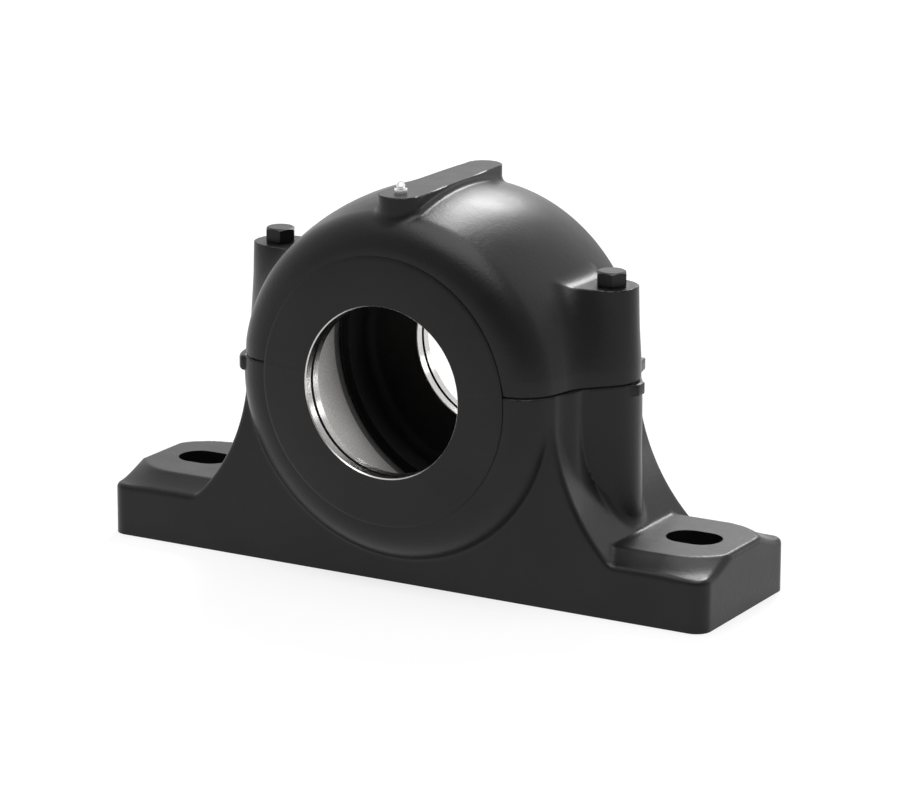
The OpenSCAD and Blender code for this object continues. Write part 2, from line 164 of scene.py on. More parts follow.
# The ledges below the split, one beside the barrel at two corners and one at each column's tip.
# A corner ledge has a side, the places along the shaft where it starts and ends, a height and a rounding.
LEDGE_H = 6.5
LEDGE_EDGE = 0.8
CORNER_LEDGE_IN = 12.0
CORNER_LEDGE_OUT = 3.6
CORNER_LEDGES = ((-1, 40.0, 59.0, 8.5, 1.7), (1, 30.0, 51.5, LEDGE_H, LEDGE_EDGE))
TIP_LEDGE_X = BOLT_X + 19.4
TIP_LEDGE_HALF = 3.5
TIP_LEDGE_ROOT = (BOLT_X + 12.2, 10.9)

# The hollows cored out of the sole, beside the barrel's wall
POCKET_X = (42.0, 120.75)
POCKET_HALF_W = 37.5
POCKET_H = 56.0
POCKET_CORNER_R = 8.0
POCKET_WALL = 13.0

# The joint line: a narrow slit along the cap's lower rim, which is set in a little from the base's rim
SLIT_H = 0.9
SLIT_DEPTH = 2.6
SLIT_RAMP = 0.1
CAP_INSET = 0.6
CAP_INSET_H = 9.0
RIM_CHAMFER = 0.5

# The castings overlap this little at the split, so that no light shows between them
SPLIT_LAP = 0.02

# The cap bolts: a threaded shank, and a hexagon head with a chamfer above and a washer face below
BOLT_R = 6.0
BOLT_PITCH = 1.75
BOLT_POINT = 1.4
THREAD_TOP = BOLT_LOW[2] + 40.0
THREAD_END_RUN = 0.3
THREAD_DEPTH = 0.9
THREAD_ROWS = 8
THREAD_FULL = 1.15
THREAD_STEEP = 2.6
HEAD_AF = 15.6
HEAD_CORNER_R = HEAD_AF / math.sqrt(3)
HEAD_TOP = BOLT_HIGH[2]
HEAD_FLAT_R = 7.0
HEAD_SLOPE = math.radians(30)
HEAD_LIFT = 0.3
HEAD_CLEAR = 0.3
HEAD_UNDERSIDE = ((HEAD_AF / 2 - 0.1, 0.4), (HEAD_CORNER_R + HEAD_CLEAR, 0.9))
HEAD_IN_SHANK = 2.0
WASHER_R = HEAD_AF / 2 - 0.3
WASHER_H = 0.5

# What is left past a flat face until it is cut, and how far the cutting tools reach past the castings
SPARE = 2.0
TOOL_PAST = 5.0
SLAB_X = 300.0
SLAB_Y = 200.0
SLAB_H = 100.0

# The grids from which the castings are made, with finer rows round their level edges, and what keeps
# the points on the surface steady
BASE_STEP = 1.45
CAP_STEP = 1.1
GRID_EDGE = 3
GRID_OFFSET = 0.013
FINE_STEP = 0.35
FINE_REACH = 1.4
FINE_GAP = 0.3
NET_MARGIN = 0.3
LEAST_SLOPE = 0.05
MERGE = 0.00001

# How each face of a casting is finished, with painted shade as a darker iron at the seat's ends and as the
# dark cast in the groove's bottom, and how near to a surface a face's centre counts as on it
PAINTED, BRIGHT, DARK, SEAT_END_SHADE, SEAT = range(5)
NEAR = 0.1
LEVEL = 0.99
INSIDE = 0.5

# Edges that turn further than these angles stay sharp, or are rounded by a bevel
CASTING_SHARP = math.radians(35)
BOLT_SHARP = math.radians(25)
BEVEL_SHARP = math.radians(25)

# The dim wall in front of the studio, from one azimuth to another
WALL_START = 165.0
WALL_END = 395.0
WALL_OUT = 3600.0
WALL_LOW = 250.0
WALL_HIGH = 3800.0
WALL_DARKEST = 0.25
WALL_LIGHTEST = 0.8
WALL_DARK_SIDE = (0.5, -0.866, 0.0)
WALL_STEPS = 24

# The lamps: name, azimuth and elevation in degrees, width and height in metres, and power in watts
LAMP_OUT = 3000.0
LAMPS = (
    ("strip", 105.0, 44.0, 0.6, 2.0, 54.0),
    ("overhead", 300.0, 82.0, 2.6, 2.6, 64.0),
    ("right", 45.0, 35.0, 1.5, 1.5, 3.0),
    ("low", 58.0, 8.0, 0.5, 0.5, 2.5),
)

# How bright the surround is as a light. The camera and reflections see it white.
WORLD_LEVEL = 0.15

# The floor's reach from the middle, and its height just under the sole
FLOOR_HALF = 9000.0
FLOOR_Z = -0.3

# The photograph's camera
CAMERA_PLACE = (1182.6, -2038.2, 723.1)
CAMERA_FORWARD = (-0.48330, 0.83645, -0.25841)
CAMERA_UP = (-0.13137, 0.22254, 0.96603)
SENSOR_WIDTH = 36.0
LENS = 175.0


def length(*parts):
    """The length of a vector, given by its parts."""
    return np.sqrt(sum(part * part for part in parts))


def join(a, b, r):
    """Distance to two shapes together, with a fillet of radius r in the corner between them."""
    return np.maximum(r, np.minimum(a, b)) - length(np.maximum(r - a, 0), np.maximum(r - b, 0))


def meet(a, b, r):
    """Distance to what two shapes share, with the edge between them rounded to radius r."""
    return np.minimum(-r, np.maximum(a, b)) + length(np.maximum(r + a, 0), np.maximum(r + b, 0))


def ease(t):
    """A smooth step from 0 to 1."""
    t = np.clip(t, 0, 1)
    return t * t * (3 - 2 * t)


def block(x, y, low, high, corner):
    """Distance in plan to a rectangle with rounded corners."""
    dx = np.abs(x - (low[0] + high[0]) / 2) - (high[0] - low[0]) / 2 + corner
    dy = np.abs(y - (low[1] + high[1]) / 2) - (high[1] - low[1]) / 2 + corner
    return length(np.maximum(dx, 0), np.maximum(dy, 0)) + np.minimum(np.maximum(dx, dy), 0) - corner


def barrel(x, y, z):
    """The crowned barrel, with its ends rounded into flat faces."""
    r = length(x, z - AXIS_H)
    along = np.abs(y)
    crown = length(r - (BARREL_R - CROWN_R), along) - CROWN_R
    u = r - ROUND_X
    v = along - ROUND_Y
    past_crown = v * math.cos(ROUND_TURN) > u * math.sin(ROUND_TURN)
    rounding = length(u, v) - BARREL_ROUND
    return np.where(past_crown & (u > 0), rounding, np.maximum(crown, along - FACE_Y))


def foot(x, y, z):
    """The foot with its raised pads, whose slopes are hollow."""
    plan = block(x, y, (-FOOT_LEN / 2, -FOOT_W / 2), (FOOT_LEN / 2, FOOT_W / 2), FOOT_CORNER_R)
    out = length(np.maximum(np.abs(x) - SLOT_X, 0), y)
    fall = np.clip((out - PAD_R) / (PAD_FOOT_R - PAD_R), 0, 1)
    top = FOOT_EDGE_H + (PAD_H - FOOT_EDGE_H) * (1 - fall) ** PAD_SLOPE_POWER
    slope = (PAD_H - FOOT_EDGE_H) / (PAD_FOOT_R - PAD_R)
    return meet(plan, (z - top) / math.hypot(1, slope), FOOT_EDGE_ROUND)


def web(x, y, z):
    """The body between foot and split, with its hollow flanks."""
    flank = FLANK_R - length(np.abs(x) - FLANK_X, z - AXIS_H)
    flank = np.where(np.abs(x) > FLANK_X, FLANK_R, flank)
    solid = meet(flank, np.abs(y) - FOOT_W / 2, WEB_EDGE_ROUND)
    return np.maximum(solid, FOOT_EDGE_H / 2 - z)


def body(x, y, z):
    """Barrel, web and foot of the base, with the fillets between them."""
    fillet = SIDE_FILLET + SIDE_FILLET_GROWTH * ease((SIDE_FILLET_Y - np.abs(y)) / SIDE_FILLET_RUN)
    lower = join(web(x, y, z), foot(x, y, z), WEB_FOOT_FILLET)
    lower = np.maximum(lower, np.abs(y) - FOOT_W / 2)
    return join(barrel(x, y, z), lower, fillet)


def boss(x, y, z):
    """An upright round boss on each side, a little wider at the split."""
    rise = np.clip((z - SPLIT_H) / (BOSS_H - SPLIT_H), 0, 1)
    r = BOSS_SPLIT_R + (BOSS_TOP_R - BOSS_SPLIT_R) * rise + COLUMN_DRAFT * np.maximum(SPLIT_H - z, 0)
    return length(np.abs(x) - BOLT_X, y) - r


def cap_field(x, y, z):
    """The cap's casting before machining."""
    shell = barrel(x, y, z)
    rise = np.clip((z - SPLIT_H) / (BOSS_H - SPLIT_H), 0, 1)
    blend = BOSS_SPLIT_BLEND + (BOSS_TOP_BLEND - BOSS_SPLIT_BLEND) * rise
    top = join(shell, z - BOSS_H, BOSS_TOP_FILLET)
    bosses = meet(join(shell, boss(x, y, z), blend), top, BOSS_EDGE_ROUND)
    share = np.clip((y + RIB_REACH) / (2 * RIB_REACH), 0, 1)
    rib_r = RIB_FRONT_R + (RIB_REAR_R - RIB_FRONT_R) * share
    rib = length(x, np.maximum(np.abs(y) - RIB_REACH, 0)) - rib_r
    rib = meet(rib, z - RIB_H, RIB_EDGE_ROUND)
    above = np.maximum(rib, AXIS_H + SEAT_R + RIB_OVER_SEAT - z)
    solid = join(np.minimum(shell, bosses), above, RIB_FILLET)
    inset = CAP_INSET * np.clip((SPLIT_H + CAP_INSET_H - z) / CAP_INSET_H, 0, 1)
    slit = SLIT_DEPTH * np.clip((SPLIT_H + SLIT_H - z) / SLIT_RAMP, 0, 1)
    return np.maximum(solid + inset + slit, SPLIT_H - SPARE - z)


def base_field(x, y, z):
    """The base's casting before machining."""
    column = np.maximum(boss(x, y, z), COLUMN_LOW - z)
    solid = np.minimum(body(x, y, z), join(barrel(x, y, z), column, BOSS_SPLIT_BLEND))
    solid = np.minimum(solid, join(column, np.minimum(web(x, y, z), foot(x, y, z)), COLUMN_FILLET))
    chamfer = np.clip(z - SPLIT_H + RIM_CHAMFER, 0, RIM_CHAMFER)
    return np.maximum(solid + chamfer, np.abs(z - SPLIT_H / 2) - SPLIT_H / 2 - SPARE)


def gradient(field, p, h=0.02):
    """The direction in which the field grows at each point."""
    parts = []
    for i in range(3):
        step = np.zeros(3)
        step[i] = h
        a = p + step
        b = p - step
        parts.append((field(a[:, 0], a[:, 1], a[:, 2]) - field(b[:, 0], b[:, 1], b[:, 2])) / (2 * h))
    return np.stack(parts, 1)


def pull(field, p, low, high):
    """Points moved onto the surface, none further than its own cell's corners."""
    value = field(p[:, 0], p[:, 1], p[:, 2])
    slope = gradient(field, p)
    size = np.maximum((slope**2).sum(1), LEAST_SLOPE)
    return np.clip(p - slope * (value / size)[:, None], low, high)


def edge_quads(inside, index, axis):
    """A quad round every grid edge along one axis that crosses the surface, turned outward."""
    edge = inside != np.roll(inside, -1, axis)
    trim = [slice(1, -1)] * 3
    trim[axis] = slice(0, -1)
    at = np.argwhere(edge[tuple(trim)])
    at += [0 if i == axis else 1 for i in range(3)]
    u, v = [i for i in range(3) if i != axis]
    if axis == 1:
        u, v = v, u
    ring = []
    for du, dv in ((1, 1), (0, 1), (0, 0), (1, 0)):
        cell = at.copy()
        cell[:, u] -= du
        cell[:, v] -= dv
        ring.append(index[tuple(cell.T)])
    ring = np.stack(ring, 1)
    leaves = inside[tuple(at.T)]
    ring[~leaves] = ring[~leaves][:, ::-1]
    return ring


def quad_mean(p, quads):
    """For each point, the mean of the centres of the quads round it."""
    total = np.zeros_like(p)
    weight = np.bincount(quads.ravel(), minlength=len(p)).astype(float)
    centre = p[quads].mean(1)
    for i in range(3):
        total[:, i] = np.bincount(quads.ravel(), np.repeat(centre[:, i], 4), len(p))
    return total / np.maximum(weight, 1)[:, None]


def surface_net(field, axes, rounds=3):
    """Vertices and quads of the field's zero surface, with one vertex in each cell that it crosses."""
    x, y, z = np.meshgrid(*axes, indexing="ij", sparse=True)
    inside = field(x, y, z) < 0
    count = np.zeros([n - 1 for n in inside.shape], np.int8)
    for i in (0, 1):
        for j in (0, 1):
            for k in (0, 1):
                count += inside[i : i - 1 or None, j : j - 1 or None, k : k - 1 or None]
    cells = np.argwhere((count > 0) & (count < 8))
    index = np.full(count.shape, -1, np.int32)
    index[tuple(cells.T)] = np.arange(len(cells))
    low = np.stack([axes[i][cells[:, i]] for i in range(3)], 1)
    high = np.stack([axes[i][cells[:, i] + 1] for i in range(3)], 1)
    quads = np.concatenate([edge_quads(inside, index, axis) for axis in range(3)])
    margin = NET_MARGIN * (high - low)
    p = (low + high) / 2
    for _ in range(2):
        p = pull(field, p, low, high)
    for _ in range(rounds):
        p = np.clip(quad_mean(p, quads), low - margin, high + margin)
        p = pull(field, p, low - margin, high + margin)
    p = pull(field, p, low - margin, high + margin)
    return p, quads


def spaced(low, high, step, fine=()):
    """Grid planes a step apart, and closer round each of the fine places."""
    planes = list(np.arange(low, high + step, step))
    for place in fine:
        planes = [v for v in planes if abs(v - place) > FINE_REACH + FINE_GAP]
        planes += list(np.arange(place - FINE_REACH, place + FINE_REACH + FINE_STEP / 2, FINE_STEP))
    return np.array(sorted(planes)) + GRID_OFFSET


def make_mesh(name, points, faces):
    """A new object in the scene, made of points in millimetres and faces."""
    mesh = bpy.data.meshes.new(name)
    mesh.from_pydata([tuple(p) for p in np.asarray(points) * MM], [], [tuple(f) for f in faces])
    mesh.update()
    piece = bpy.data.objects.new(name, mesh)
    bpy.context.scene.collection.objects.link(piece)
    return piece


def lathe(name, outline, sides=256):
    """A closed outline of (radius, place along the shaft), turned round the shaft's axis."""
    n = len(outline)
    turns = np.arange(sides) * 2 * math.pi / sides
    points = [(r * math.sin(t), y, AXIS_H + r * math.cos(t)) for t in turns for r, y in outline]
    faces = []
    for i in range(sides):
        j = (i + 1) % sides
        for k in range(n):
            m = (k + 1) % n
            faces.append((i * n + k, j * n + k, j * n + m, i * n + m))
    piece = make_mesh(name, points, faces)
    outward(piece)
    return piece


def prism(name, plan, low, high):
    """An upright prism on a plan of (x, y) points."""
    n = len(plan)
    points = [(x, y, low) for x, y in plan] + [(x, y, high) for x, y in plan]
    faces = [tuple(range(n))[::-1], tuple(range(n, 2 * n))]
    faces += [(i, (i + 1) % n, n + (i + 1) % n, n + i) for i in range(n)]
    piece = make_mesh(name, points, faces)
    outward(piece)
    return piece


def outward(piece):
    """Merges a closed mesh's doubled points and turns its faces outward."""
    work = bmesh.new()
    work.from_mesh(piece.data)
    bmesh.ops.remove_doubles(work, verts=work.verts, dist=MERGE)
    bmesh.ops.recalc_face_normals(work, faces=work.faces)
    work.to_mesh(piece.data)
    work.free()


def bevel(piece, width, segments=2):
    """Rounds a mesh's sharp edges a little."""
    work = bmesh.new()
    work.from_mesh(piece.data)
    sharp = [edge for edge in work.edges if edge.calc_face_angle(0) > BEVEL_SHARP]
    bmesh.ops.bevel(work, geom=sharp, offset=width * MM, segments=segments, profile=0.5, affect="EDGES")
    work.to_mesh(piece.data)
    work.free()
    return piece


def boolean(piece, tool, operation):
    """Joins the tool to the piece, or cuts it away, and removes the tool."""
    modifier = piece.modifiers.new("boolean", "BOOLEAN")
    modifier.object = tool
    modifier.operation = operation
    modifier.solver = "MANIFOLD"
    bpy.context.view_layer.update()
    graph = bpy.context.evaluated_depsgraph_get()
    made = bpy.data.meshes.new_from_object(piece.evaluated_get(graph))
    piece.modifiers.clear()
    old = piece.data
    piece.data = made
    bpy.data.meshes.remove(old)
    bpy.data.objects.remove(tool)


def arc(centre, r, start, end, steps):
    """Points on an arc, from one angle to another in degrees."""
    turns = [math.radians(start + (end - start) * i / steps) for i in range(steps + 1)]
    return [(centre[0] + r * math.cos(t), centre[1] + r * math.sin(t)) for t in turns]


def hollow_outline():
    """Half outline of the machined and cored inside, from the middle to past the end face."""
    groove_y = HALF_LEN - (HALF_LEN - WALL_Y) / 2
    corner = (CHAMBER_R - CHAMBER_ROUND, WALL_Y - CHAMBER_ROUND)
    half = [(SEAT_R, 0), (SEAT_R, SEAT_HALF - SEAT_SHADE_WIDTH), (SEAT_R, SEAT_HALF - SEAT_CHAMFER)]
    half += [(SEAT_R - SEAT_CHAMFER, SEAT_HALF), (CHAMBER_R, SEAT_HALF)]
    half += arc(corner, CHAMBER_ROUND, 0, 90, 8)
    half += [
        (BORE_R + WALL_CHAMFER, WALL_Y),
        (BORE_R, WALL_Y + WALL_CHAMFER),
        (BORE_R, groove_y - GROOVE_W / 2),
        (BORE_R + GROOVE_DEPTH, groove_y - GROOVE_W / 2),
        (BORE_R + GROOVE_DEPTH, groove_y + GROOVE_W / 2),
        (BORE_R, groove_y + GROOVE_W / 2),
        (BORE_R, HALF_LEN - LIP_CHAMFER),
        (BORE_R + LIP_CHAMFER + SPARE, HALF_LEN + SPARE),
    ]
    return half


def hollow_tool():
    """All of the inside as one turned body, along the whole shaft."""
    half = hollow_outline()
    back = [(r, -y) for r, y in half[:0:-1]]
    end = half[-1][1]
    return lathe("hollow", [(0, -end)] + back + half + [(0, end)])


def disc_tool(side):
    """The machined disc round a shaft opening, with a soft edge."""
    foot = HALF_LEN - DISC_EDGE_H
    outline = [(DISC_INNER_R, DISC_INNER_Y), (DISC_R, DISC_INNER_Y), (DISC_R, foot - DISC_EDGE_LEAD)]
    outline += [(DISC_R - DISC_EDGE_KNEE * DISC_EDGE, foot + DISC_EDGE_KNEE * DISC_EDGE_H)]
    outline += [(DISC_R - DISC_EDGE, HALF_LEN), (DISC_INNER_R, HALF_LEN)]
    return lathe("disc", [(r, side * y) for r, y in outline])


def slot_tool(side):
    """The slot through a foot pad."""
    half = arc((SLOT_HALF, 0), SLOT_R, -90, 90, 30)
    plan = half + [(-x, -y) for x, y in half]
    return prism("slot", [(side * SLOT_X + x, y) for x, y in plan], -TOOL_PAST, PAD_H + TOOL_PAST)


def slab_tool(low, high):
    """A block wider than the castings, between two heights."""
    plan = [(-SLAB_X, -SLAB_Y), (SLAB_X, -SLAB_Y), (SLAB_X, SLAB_Y), (-SLAB_X, SLAB_Y)]
    return prism("slab", plan, low, high)


def rounded_plan(low, high, r, steps=8):
    """A rectangle in plan with rounded corners."""
    left, right = low[0] + r, high[0] - r
    front, rear = low[1] + r, high[1] - r
    plan = arc((right, rear), r, 0, 90, steps)
    plan += arc((left, rear), r, 90, 180, steps)
    plan += arc((left, front), r, 180, 270, steps)
    plan += arc((right, front), r, 270, 360, steps)
    return plan


def roller(x, z, r, half, sides=192):
    """A cylinder that lies along the shaft's direction."""
    turns = [2 * math.pi * i / sides for i in range(sides)]
    rim = [(x + r * math.cos(t), z + r * math.sin(t)) for t in turns]
    points = [(a, -half, b) for a, b in rim] + [(a, half, b) for a, b in rim]
    faces = [tuple(range(sides)), tuple(range(sides, 2 * sides))[::-1]]
    faces += [(i, (i + 1) % sides, sides + (i + 1) % sides, sides + i) for i in range(sides)]
    piece = make_mesh("roller", points, faces)
    outward(piece)
    return piece


def drill(piece, x, y, r, low, high, sides=64):
    """Cuts an upright round hole."""
    turns = [2 * math.pi * i / sides for i in range(sides)]
    plan = [(x + r * math.cos(t), y + r * math.sin(t)) for t in turns]
    boolean(piece, prism("hole", plan, low, high), "DIFFERENCE")


def pocket_tool(side):
    """A hollow in the sole, whose walls follow the barrel and the flank outside."""
    ends = sorted((side * POCKET_X[0], side * POCKET_X[1]))
    plan = rounded_plan((ends[0], -POCKET_HALF_W), (ends[1], POCKET_HALF_W), POCKET_CORNER_R)
    tool = prism("pocket", plan, -TOOL_PAST, POCKET_H)
    boolean(tool, roller(0, AXIS_H, SEAT_R + POCKET_WALL, HALF_LEN), "DIFFERENCE")
    boolean(tool, roller(side * FLANK_X, AXIS_H, FLANK_R + POCKET_WALL, HALF_LEN), "DIFFERENCE")
    return tool


def barrel_out(y):
    """Distance of the barrel's side from the middle at the split, at a place along the shaft."""
    if y > ROUND_Y + BARREL_ROUND * math.sin(ROUND_TURN):
        r = ROUND_X + math.sqrt(max(BARREL_ROUND**2 - (y - ROUND_Y) ** 2, 0))
    else:
        r = BARREL_R - CROWN_R + math.sqrt(CROWN_R**2 - y**2)
    return math.sqrt(r**2 - (SPLIT_H - AXIS_H) ** 2)


def ledge_tools():
    """The ledges for lifting the cap off, as blocks with rounded edges."""
    tools = []
    steps = 10
    for side, start, end, height, rounding in CORNER_LEDGES:
        plan = [(barrel_out(start) - CORNER_LEDGE_IN, start)]
        for i in range(steps + 1):
            y = start + (end - start) * i / steps
            plan.append((barrel_out(y) + CORNER_LEDGE_OUT, y))
        plan.append((barrel_out(end) - CORNER_LEDGE_IN, end))
        plan = [(side * x, side * y) for x, y in plan]
        tools.append(bevel(prism("ledge", plan, SPLIT_H - height, SPLIT_H), rounding, 3))
    for side in (-1, 1):
        half = [(BOLT_X, TIP_LEDGE_ROOT[1]), TIP_LEDGE_ROOT, (TIP_LEDGE_X, TIP_LEDGE_HALF)]
        plan = half + [(x, -y) for x, y in half[::-1]]
        plan = [(side * x, side * y) for x, y in plan]
        tools.append(bevel(prism("ledge", plan, SPLIT_H - LEDGE_H, SPLIT_H), LEDGE_EDGE))
    return tools


def face_vectors(mesh, name):
    """Every face's centre or normal."""
    values = np.zeros(len(mesh.polygons) * 3)
    mesh.polygons.foreach_get(name, values)
    return values.reshape(-1, 3)


def face_kinds(mesh):
    """How each face of a casting is finished, by where it lies."""
    centres = face_vectors(mesh, "center") / MM
    level = np.abs(face_vectors(mesh, "normal")[:, 2]) > LEVEL
    r = np.hypot(centres[:, 0], centres[:, 2] - AXIS_H)
    along = np.abs(centres[:, 1])
    kind = np.full(len(r), PAINTED, np.int32)
    kind[(r < BORE_R + LIP_CHAMFER + NEAR) & (along > WALL_Y - 2 * NEAR)] = BRIGHT
    groove = (r < BORE_R + GROOVE_DEPTH + NEAR) & (along > WALL_Y + 2 * NEAR)
    groove = groove & (along < HALF_LEN - 5 * NEAR)
    # The groove's bottom takes the dark cast material instead of bright iron: painted shade in the groove
    kind[groove] = np.where(r[groove] > BORE_R + 2 * NEAR, DARK, BRIGHT)
    inner = r < SEAT_R + 5 * NEAR
    seat_end = SEAT_HALF - SEAT_CHAMFER - NEAR / 2
    kind[inner & (along <= WALL_Y + NEAR) & (along > seat_end)] = DARK
    seat = inner & (along < seat_end)
    # The seat's ends take a darker iron than the rest of the seat: painted shade
    kind[seat] = np.where(along[seat] > SEAT_HALF - SEAT_SHADE_WIDTH, SEAT_END_SHADE, SEAT)
    split = level & (np.abs(centres[:, 2] - SPLIT_H) < SPLIT_LAP + NEAR / 10)
    under_cap = cap_field(centres[:, 0], centres[:, 1], np.full(len(r), SPLIT_H + SPARE)) < -INSIDE
    kind[split & under_cap] = BRIGHT
    return kind


def finish_casting(piece, node, materials):
    """Gives the faces their materials, smooths them and puts the piece in its CAD node's place."""
    mesh = piece.data
    mesh.materials.clear()
    for material in materials:
        mesh.materials.append(material)
    kind = face_kinds(mesh)
    mesh.polygons.foreach_set("material_index", kind)
    mesh.polygons.foreach_set("use_smooth", np.ones(len(kind), bool))
    mesh.set_sharp_from_angle(angle=CASTING_SHARP)
    mesh.update()
    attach(piece, "housing")
    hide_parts(node)


def cast_base(materials):
    """The lower casting: foot, web, lower half of the barrel, columns and ledges."""
    edge = GRID_EDGE * BASE_STEP
    axes = [
        spaced(-FOOT_LEN / 2 - edge, FOOT_LEN / 2 + edge, BASE_STEP),
        spaced(-HALF_LEN - edge, HALF_LEN + edge, BASE_STEP),
        spaced(-edge, SPLIT_H + edge, BASE_STEP, fine=(SPLIT_H,)),
    ]
    points, quads = surface_net(base_field, axes)
    piece = make_mesh("base_casting", points, quads)
    for side in (-1, 1):
        boolean(piece, disc_tool(side), "UNION")
    boolean(piece, hollow_tool(), "DIFFERENCE")
    for side in (-1, 1):
        boolean(piece, slot_tool(side), "DIFFERENCE")
        boolean(piece, pocket_tool(side), "DIFFERENCE")
    boolean(piece, slab_tool(SPLIT_H, SPLIT_H + SLAB_H), "DIFFERENCE")
    boolean(piece, slab_tool(-SLAB_H, 0), "DIFFERENCE")
    for tool in ledge_tools():
        boolean(piece, tool, "UNION")
    for side in (-1, 1):
        drill(piece, side * BOLT_X, 0, THREAD_HOLE_R, THREAD_END, SPLIT_H + SPARE)
        drill(piece, side * DOWEL_X, -side * DOWEL_Y, DOWEL_R, SPLIT_H - DOWEL_HALF, SPLIT_H + SPARE)
    finish_casting(piece, "housing_base", materials)


def cast_cap(materials):
    """The upper casting: upper half of the barrel, bolt bosses and rib."""
    edge = GRID_EDGE * CAP_STEP
    axes = [
        spaced(CAP_LOW[0] - edge, CAP_HIGH[0] + edge, CAP_STEP),
        spaced(-HALF_LEN - edge, HALF_LEN + edge, CAP_STEP),
        spaced(SPLIT_H - edge, RIB_H + edge, CAP_STEP, fine=(SPLIT_H + SLIT_H, BOSS_H, RIB_H)),
    ]
    points, quads = surface_net(cap_field, axes)
    piece = make_mesh("cap_casting", points, quads)
    for side in (-1, 1):
        boolean(piece, disc_tool(side), "UNION")
    boolean(piece, hollow_tool(), "DIFFERENCE")
    boolean(piece, slab_tool(SPLIT_H - SLAB_H, SPLIT_H - SPLIT_LAP), "DIFFERENCE")
    for side in (-1, 1):
        drill(piece, side * BOLT_X, 0, BOLT_HOLE_R, SPLIT_H - SPARE, BOSS_H + SPARE)
        drill(piece, side * DOWEL_X, -side * DOWEL_Y, DOWEL_R, SPLIT_H - SPARE, SPLIT_H + DOWEL_HALF)
    drill(piece, 0, -RIB_REACH, NIPPLE_HOLE_R, NIPPLE_HOLE_END, RIB_H + SPARE)
    drill(piece, 0, -RIB_REACH, GREASE_WAY_R, AXIS_H + BORE_R, RIB_H)
    finish_casting(piece, "housing_cap", materials)


def bolt_shank(name, x, low, high, sides=48):
    """A bolt's shank with a true screw thread up to THREAD_TOP, as one closed mesh."""
    rows = int(round((THREAD_TOP - low) / BOLT_PITCH * THREAD_ROWS))
    heights = [low + (THREAD_TOP - low) * i / rows for i in range(rows + 1)]
    heights += [THREAD_TOP + THREAD_END_RUN, high]
    points = []
    for z in heights:
        fade = min(1, max(0, (THREAD_TOP - z) / BOLT_PITCH))
        blunt = max(0, low + BOLT_POINT - z)
        for j in range(sides):
            phase = ((z - low) / BOLT_PITCH - j / sides) % 1
            depth = min(1, max(0, THREAD_FULL - abs(phase - 0.5) * THREAD_STEEP))
            r = min(BOLT_R - fade * THREAD_DEPTH * depth, BOLT_R - blunt)
            t = 2 * math.pi * j / sides
            points.append((x + r * math.cos(t), r * math.sin(t), z))
    n = len(heights)
    faces = [tuple(range(sides)), tuple(range((n - 1) * sides, n * sides))]
    for i in range(n - 1):
        for j in range(sides):
            k = (j + 1) % sides
            faces.append((i * sides + j, i * sides + k, (i + 1) * sides + k, (i + 1) * sides + j))
    piece = make_mesh(name, points, faces)
    outward(piece)
    return piece


def turned(name, outline, x, sides=96):
    """A closed outline of (radius, height) from the axis and back to it, turned round an upright axis."""
    turns = [2 * math.pi * i / sides for i in range(sides)]
    points = [(x + r * math.cos(t), r * math.sin(t), z) for t in turns for r, z in outline]
    n = len(outline)
    faces = []
    for i in range(sides):
        j = (i + 1) % sides
        faces += [(i * n + k, j * n + k, j * n + k + 1, i * n + k + 1) for k in range(n - 1)]
    piece = make_mesh(name, points, faces)
    outward(piece)
    return piece


def cap_bolt(side, material):
    """A cap bolt: its hexagon head, chamfered above and washer-faced below, on its threaded shank."""
    node = "cap_bolt_right" if side > 0 else "cap_bolt_left"
    x = side * BOLT_X
    turns = [i * math.pi / 3 for i in range(6)]
    plan = [(x + HEAD_CORNER_R * math.cos(t), HEAD_CORNER_R * math.sin(t)) for t in turns]
    head = prism("head", plan, BOSS_H + HEAD_LIFT, HEAD_TOP)
    outer_r = HEAD_CORNER_R + HEAD_CLEAR
    fall = (outer_r - HEAD_FLAT_R) * math.tan(HEAD_SLOPE)
    limit = [(0, BOSS_H), (WASHER_R, BOSS_H)]
    limit += [(r, BOSS_H + rise) for r, rise in HEAD_UNDERSIDE]
    limit += [(outer_r, HEAD_TOP - fall), (HEAD_FLAT_R, HEAD_TOP), (0, HEAD_TOP)]
    boolean(head, turned("limit", limit, x), "INTERSECT")
    washer = [(0, BOSS_H), (WASHER_R, BOSS_H), (WASHER_R, BOSS_H + WASHER_H), (0, BOSS_H + WASHER_H)]
    boolean(head, turned("washer_face", washer, x), "UNION")
    piece = bolt_shank(node + "_steel", x, BOLT_LOW[2], BOSS_H + HEAD_IN_SHANK)
    boolean(piece, head, "UNION")
    mesh = piece.data
    mesh.materials.clear()
    mesh.materials.append(material)
    mesh.polygons.foreach_set("use_smooth", np.ones(len(mesh.polygons), bool))
    mesh.set_sharp_from_angle(angle=BOLT_SHARP)
    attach(piece, "housing")
    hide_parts(node)


